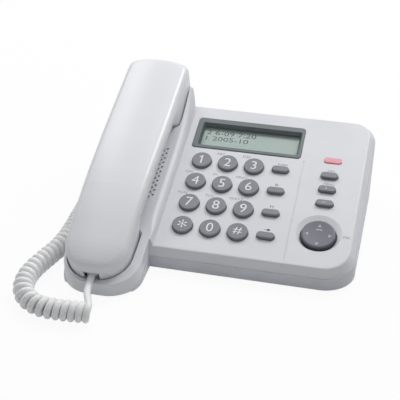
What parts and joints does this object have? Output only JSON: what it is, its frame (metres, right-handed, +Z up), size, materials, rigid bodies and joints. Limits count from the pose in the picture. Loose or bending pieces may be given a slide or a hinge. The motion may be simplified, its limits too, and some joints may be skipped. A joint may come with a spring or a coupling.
{
  "type": "corded desk telephone",
  "caption": "Corded desk telephone: sloping key deck with display, navigator key and ringer lamp, lift-off handset in a cradle, and a curly cord.",
  "frame": {"origin": "centre of the footprint of base and handset, on the surface that the feet stand on", "axes": "+X to the user's right, +Y to the back, up the slope of the deck, +Z up"},
  "size_m": [0.2165, 0.2223, 0.0868],
  "materials": {
    "deck_plastic": "fine satin grain",
    "base_plastic": "fine satin grain",
    "handset_plastic": "smooth satin",
    "frame_plastic": "satin",
    "window_plastic": "clear gloss",
    "lcd_glass": "gloss",
    "lamp_plastic": "gloss, tinted",
    "key_plastic": "satin",
    "nav_plastic": "satin",
    "inner_plastic": "moulded",
    "circuit_board": "laminate",
    "mat_rubber": "moulded",
    "foot_rubber": "moulded",
    "screw_steel": "zinc plated",
    "speaker_steel": "pressed",
    "speaker_cone": "paper",
    "jack_plastic": "moulded",
    "contact_metal": "plated",
    "battery_case": "printed sleeve",
    "plug_plastic": "clear moulded",
    "cord_jacket": "satin flexible jacket",
    "ballast_iron": "raw"
  },
  "bodies": {
    "base": {"upper_cabinet": "deck_plastic", "lower_cabinet": "base_plastic", "display_frame": "frame_plastic", "display_lens": "window_plastic", "lcd_panel": "lcd_glass", "lcd_holder": "inner_plastic", "lamp_lens": "lamp_plastic", "lamp_led": "lamp_plastic", "main_board": "circuit_board", "keypad_mat": "mat_rubber", "board_screws": "screw_steel", "base_screws": "screw_steel", "rubber_feet": "foot_rubber", "loudspeaker_frame": "speaker_steel", "loudspeaker_cone": "speaker_cone", "hook_switch_body": "inner_plastic", "base_jack": "jack_plastic", "line_jack": "jack_plastic", "battery_contacts": "contact_metal", "batteries": "battery_case", "base_plug": "plug_plastic", "cord_coil": "cord_jacket", "cord_base_lead": "cord_jacket"},
    "handset": {"handset_back_shell": "handset_plastic", "handset_front_shell": "handset_plastic", "handset_screws": "screw_steel", "receiver_capsule": "inner_plastic", "handset_microphone": "inner_plastic", "handset_ballast": "ballast_iron", "handset_jack": "jack_plastic", "handset_plug": "plug_plastic", "cord_handset_lead": "cord_jacket"},
    "hook_plunger": {"hook_plunger": "inner_plastic"},
    "battery_door": {"battery_door": "base_plastic"},
    "nav_pivot": {"nav_pivot": "inner_plastic"},
    "nav_key": {"nav_key": "nav_plastic"},
    "key_1": {"key_1": "key_plastic"},
    "key_2": {"key_2": "key_plastic"},
    "key_3": {"key_3": "key_plastic"},
    "key_4": {"key_4": "key_plastic"},
    "key_5": {"key_5": "key_plastic"},
    "key_6": {"key_6": "key_plastic"},
    "key_7": {"key_7": "key_plastic"},
    "key_8": {"key_8": "key_plastic"},
    "key_9": {"key_9": "key_plastic"},
    "key_star": {"key_star": "key_plastic"},
    "key_0": {"key_0": "key_plastic"},
    "key_hash": {"key_hash": "key_plastic"},
    "function_key_1": {"function_key_1": "key_plastic"},
    "function_key_2": {"function_key_2": "key_plastic"},
    "function_key_3": {"function_key_3": "key_plastic"},
    "function_key_4": {"function_key_4": "key_plastic"},
    "side_key_1": {"side_key_1": "key_plastic"},
    "side_key_2": {"side_key_2": "key_plastic"},
    "side_key_3": {"side_key_3": "key_plastic"}
  },
  "joints": [
    {"name": "handset_lift", "type": "slide", "parent": "base", "child": "handset", "axis": [0, -0.2823, 0.9593], "range_m": [0, 0.12]},
    {"name": "hook_rise", "type": "slide", "parent": "base", "child": "hook_plunger", "axis": [0, -0.2823, 0.9593], "range_m": [0, 0.004]},
    {"name": "battery_door_swing", "type": "hinge", "parent": "base", "child": "battery_door", "pos_m": [0.046, 0.0108, 0.0026], "axis": [-1, 0, 0], "range_deg": [0, 95]},
    {"name": "nav_tilt_up_down", "type": "hinge", "parent": "base", "child": "nav_pivot", "pos_m": [0.06815, -0.02726, 0.01944], "axis": [1, 0, 0], "range_deg": [-3, 3], "stiffness_Nm_per_rad": 0.4},
    {"name": "nav_tilt_left_right", "type": "hinge", "parent": "nav_pivot", "child": "nav_key", "pos_m": [0.06815, -0.02726, 0.01944], "axis": [0, 0.9593, 0.2823], "range_deg": [-3, 3], "stiffness_Nm_per_rad": 0.4},
    {"name": "key_1_press", "type": "slide", "parent": "base", "child": "key_1", "axis": [0, 0.2823, -0.9593], "range_m": [0, 0.0014], "stiffness_N_per_m": 300},
    {"name": "key_2_press", "type": "slide", "parent": "base", "child": "key_2", "axis": [0, 0.2823, -0.9593], "range_m": [0, 0.0014], "stiffness_N_per_m": 300},
    {"name": "key_3_press", "type": "slide", "parent": "base", "child": "key_3", "axis": [0, 0.2823, -0.9593], "range_m": [0, 0.0014], "stiffness_N_per_m": 300},
    {"name": "key_4_press", "type": "slide", "parent": "base", "child": "key_4", "axis": [0, 0.2823, -0.9593], "range_m": [0, 0.0014], "stiffness_N_per_m": 300},
    {"name": "key_5_press", "type": "slide", "parent": "base", "child": "key_5", "axis": [0, 0.2823, -0.9593], "range_m": [0, 0.0014], "stiffness_N_per_m": 300},
    {"name": "key_6_press", "type": "slide", "parent": "base", "child": "key_6", "axis": [0, 0.2823, -0.9593], "range_m": [0, 0.0014], "stiffness_N_per_m": 300},
    {"name": "key_7_press", "type": "slide", "parent": "base", "child": "key_7", "axis": [0, 0.2823, -0.9593], "range_m": [0, 0.0014], "stiffness_N_per_m": 300},
    {"name": "key_8_press", "type": "slide", "parent": "base", "child": "key_8", "axis": [0, 0.2823, -0.9593], "range_m": [0, 0.0014], "stiffness_N_per_m": 300},
    {"name": "key_9_press", "type": "slide", "parent": "base", "child": "key_9", "axis": [0, 0.2823, -0.9593], "range_m": [0, 0.0014], "stiffness_N_per_m": 300},
    {"name": "key_star_press", "type": "slide", "parent": "base", "child": "key_star", "axis": [0, 0.2823, -0.9593], "range_m": [0, 0.0014], "stiffness_N_per_m": 300},
    {"name": "key_0_press", "type": "slide", "parent": "base", "child": "key_0", "axis": [0, 0.2823, -0.9593], "range_m": [0, 0.0014], "stiffness_N_per_m": 300},
    {"name": "key_hash_press", "type": "slide", "parent": "base", "child": "key_hash", "axis": [0, 0.2823, -0.9593], "range_m": [0, 0.0014], "stiffness_N_per_m": 300},
    {"name": "function_key_1_press", "type": "slide", "parent": "base", "child": "function_key_1", "axis": [0, 0.2823, -0.9593], "range_m": [0, 0.0014], "stiffness_N_per_m": 300},
    {"name": "function_key_2_press", "type": "slide", "parent": "base", "child": "function_key_2", "axis": [0, 0.2823, -0.9593], "range_m": [0, 0.0014], "stiffness_N_per_m": 300},
    {"name": "function_key_3_press", "type": "slide", "parent": "base", "child": "function_key_3", "axis": [0, 0.2823, -0.9593], "range_m": [0, 0.0014], "stiffness_N_per_m": 300},
    {"name": "function_key_4_press", "type": "slide", "parent": "base", "child": "function_key_4", "axis": [0, 0.2823, -0.9593], "range_m": [0, 0.0014], "stiffness_N_per_m": 300},
    {"name": "side_key_1_press", "type": "slide", "parent": "base", "child": "side_key_1", "axis": [0, 0.2823, -0.9593], "range_m": [0, 0.0014], "stiffness_N_per_m": 300},
    {"name": "side_key_2_press", "type": "slide", "parent": "base", "child": "side_key_2", "axis": [0, 0.2823, -0.9593], "range_m": [0, 0.0014], "stiffness_N_per_m": 300},
    {"name": "side_key_3_press", "type": "slide", "parent": "base", "child": "side_key_3", "axis": [0, 0.2823, -0.9593], "range_m": [0, 0.0014], "stiffness_N_per_m": 300}
  ],
  "couplings": [
    {"joint": "hook_rise", "follows": "handset_lift", "ratio": 0.0333}
  ]
}
